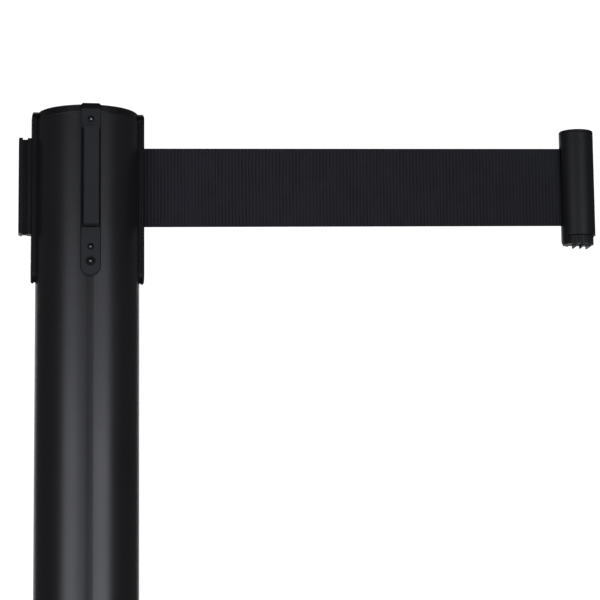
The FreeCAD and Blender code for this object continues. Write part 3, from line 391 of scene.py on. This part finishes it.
def screws_with_painted_glint():
    """Blackened screws with bright steel painted into each cross recess: a painted highlight for its
    glint.
    """
    black, glint_steel = (0.006, 0.006, 0.007), (0.55, 0.55, 0.57)
    tree = Tree("black_screws")
    x, y, z = (tree.math("ABSOLUTE", out) for out in tree.axes())
    aside = tree.smallest(x, y)
    levels = [tree.math("ABSOLUTE", tree.math("SUBTRACT", z, level)) for level in SCREW_LEVELS]
    out = tree.math("MAXIMUM", aside, tree.smallest(*levels))
    patchy = tree.times(tree.noise(1500.0, detail=2.0), 0.9 * MM)
    # bright steel painted into the cross recess: a painted highlight for its glint
    painted_glint = tree.remap(tree.math("ADD", out, patchy), 0.70 * MM, 1.05 * MM, 1.0, 0.0)
    tone = tree.blend(painted_glint, rgba(black), rgba(glint_steel))
    gloss = tree.remap(painted_glint, 0.0, 1.0, 0.50, 0.35)
    normal = tree.bump(tree.noise(2600.0, detail=2.0), 0.012 * MM)
    return tree.finish(tone, gloss, normal, painted_glint, level=0.12)


def brushed(name, colour, rough, stretch):
    """Bare metal with fine drawn lines, or an even grain where stretch is the same each way."""
    tree = Tree(name)
    lines = tree.noise(900.0, rough=0.6, place=tree.stretched(stretch))
    slow = tree.noise(40.0)
    tone = tree.blend(slow, rgba(colour, 0.85), rgba(colour, 1.1))
    gloss = tree.remap(lines, 0.3, 0.7, rough * 0.8, rough * 1.25)
    return tree.finish(tone, gloss, tree.bump(lines, 0.01 * MM), metallic=1.0)


def webbing():
    """Black woven polyester: cords across the belt, crossed by finer yarns along it. The dark
    lines between the cords are painted shade in their grooves, broken, and strongest beside
    the outlet; farther from the post the belt is painted darker and cooler, also painted shade."""
    warm, far_shade_colour = (0.0170, 0.0155, 0.0210), (0.0106, 0.0118, 0.0140)
    turn = 2 * math.pi
    tree = Tree("belt_webbing")
    x, _, z = tree.axes()
    wander = tree.times(tree.noise(55.0, detail=2.0), 0.5)
    turns = tree.math("ADD", tree.times(x, 1.0 / RIB_PITCH), wander)
    rib = tree.math("SINE", tree.times(turns, turn))
    yarn = tree.math("SINE", tree.times(z, turn / YARN_PITCH))
    step = tree.math("SINE", tree.times(turns, math.pi))
    weave = tree.times(yarn, step)
    dashes = tree.noise(120.0, detail=2.0, place=tree.stretched((1.0, 1.0, 0.55)))
    # beside the outlet the painted shade in the grooves is at full strength
    outlet = tree.remap(x, *OUTLET_PAINTED_SHADE, 1.0, 0.0)
    shade_share = tree.math("MAXIMUM", tree.remap(dashes, 0.38, 0.62, 0.5, 1.0), outlet)
    # dark lines painted in the grooves between the cords: painted shade, broken by the dashes
    groove_shade = tree.times(tree.remap(rib, -1.0, 0.4, 1.0, 0.0), shade_share)
    tone = tree.blend(tree.noise(22.0), rgba(warm, 0.82), rgba(warm, 1.18))
    # farther from the post the belt is painted darker and cooler: painted shade along its length
    tone = tree.blend(tree.remap(x, *PAINTED_SHADE_ALONG_BELT, 0.0, 1.0), tone, rgba(far_shade_colour))
    tone = tree.blend(groove_shade, tone, rgba(warm, 0.12))
    fuzz = tree.remap(tree.noise(2600.0, detail=2.0), 0.35, 0.75, 0.0, 0.35)
    tone = tree.blend(fuzz, tone, rgba(warm, 1.6))
    gloss = tree.remap(weave, -1.0, 1.0, 0.62, 0.80)
    coarse = tree.bump(groove_shade, -0.06 * MM)
    normal = tree.bump(weave, 0.05 * MM, strength=0.7, under=coarse)
    tree.shader.inputs["Sheen Weight"].default_value = 0.02
    return tree.finish(tone, gloss, normal, level=0.2)


def make_finishes():
    """One material for each of the record's slots, and those that single pieces have."""
    finishes = {name: paint(name, **look) for name, look in PAINTS.items()}
    finishes.update({name: brushed(name, **look) for name, look in METALS.items()})
    finishes["black_screws"] = screws_with_painted_glint()
    finishes["belt_webbing"] = webbing()
    return finishes


def dress_cad(frame, finishes):
    """Gives every CAD node its own finish, or that of its slot."""
    slots = {row["node"]: row["material_slot"] for row in frame["record"]["subparts"]}
    for name, node in frame["nodes"].items():
        node.data.materials.clear()
        node.data.materials.append(finishes[OWN_FINISHES.get(name, slots[name])])


# ---------------------------------------------------------------- belt webbing


def belt_axes():
    """The belt's own directions: along it, across its thickness and up its width."""
    along = Vector(
        (
            math.cos(LINE_YAW) * math.cos(LINE_LIFT),
            math.sin(LINE_YAW) * math.cos(LINE_LIFT),
            math.sin(LINE_LIFT),
        )
    )
    across = Vector((-math.sin(LINE_YAW), math.cos(LINE_YAW), 0.0))
    return along, across, along.cross(across)


def half_thickness(s, height):
    """Half the webbing's thickness at a distance along the belt and a height from its middle."""
    place = Vector((s * WANDER_ALONG, height * WANDER_UP, WANDER_SLICE))
    wander = RIB_WANDER * noise.noise(place)
    rib = math.cos(2 * math.pi * (s / RIB_PITCH + wander))
    from_edge = BELT_WIDTH / 2 - abs(height)
    edge = max(0.0, 1.0 - from_edge / SELVEDGE)
    swell = SELVEDGE_SWELL * math.sin(math.pi * min(1.0, from_edge / SELVEDGE))
    cord = RIB_DEPTH / 2 * rib * (1.0 - (1.0 - RIB_LEFT_AT_EDGE) * edge)
    thick = BELT_HALF_THICK + cord + swell
    return thick * RIM_SHARE if from_edge < RIM else thick


def webbing_mesh(along, across, up):
    """The belt from the post to its round end, as one closed strip of cords."""
    half = BELT_WIDTH / 2
    top = [half - inset for inset in ROWS_AT_EDGE]
    middle = [half * (1 - 2 * row / ROWS_ACROSS) for row in range(2, ROWS_ACROSS - 1)]
    down = top + middle + [-height for height in reversed(top)]
    ring = [(-1, height) for height in down] + [(1, height) for height in reversed(down)]
    length = BELT_ENDS - BELT_STARTS
    columns = round(length / (RIB_PITCH / COLUMNS_IN_A_RIB))
    vertices = []
    for column in range(columns + 1):
        s = BELT_STARTS + length * column / columns
        for side, height in ring:
            out = across * (side * half_thickness(s, height))
            vertices.append(PIVOT + along * s + out + up * height)
    around = len(ring)
    faces = []
    for a in range(0, columns * around, around):
        b = a + around
        for j in range(around):
            k = (j + 1) % around
            faces.append((a + j, a + k, b + k, b + j))
    faces.append(tuple(reversed(range(around))))
    faces.append(tuple(columns * around + j for j in range(around)))
    mesh = bpy.data.meshes.new("belt_webbing")
    mesh.from_pydata(vertices, [], faces)
    mesh.validate()
    for polygon in mesh.polygons:
        polygon.use_smooth = True
    return mesh


def make_webbing(finish):
    """Puts the webbing in place of the CAD's belt, stretching between the post and its end."""
    along, across, up = belt_axes()
    mesh = webbing_mesh(along, across, up)
    mesh.materials.append(finish)
    piece = bpy.data.objects.new("belt_webbing", mesh)
    link(piece)
    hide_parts("belt_span")
    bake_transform(piece)


# ---------------------------------------------------------------- the scene

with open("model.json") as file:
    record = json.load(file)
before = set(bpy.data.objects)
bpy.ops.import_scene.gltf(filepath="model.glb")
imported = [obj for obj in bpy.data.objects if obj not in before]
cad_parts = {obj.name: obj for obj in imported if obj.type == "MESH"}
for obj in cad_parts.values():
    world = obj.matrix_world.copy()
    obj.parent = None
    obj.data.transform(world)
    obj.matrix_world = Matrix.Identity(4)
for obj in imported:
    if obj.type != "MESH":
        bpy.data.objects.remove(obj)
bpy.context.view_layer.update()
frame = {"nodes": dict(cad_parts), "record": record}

make_camera()
make_studio()
make_floor()
finishes = make_finishes()
dress_cad(frame, finishes)
make_webbing(finishes["belt_webbing"])
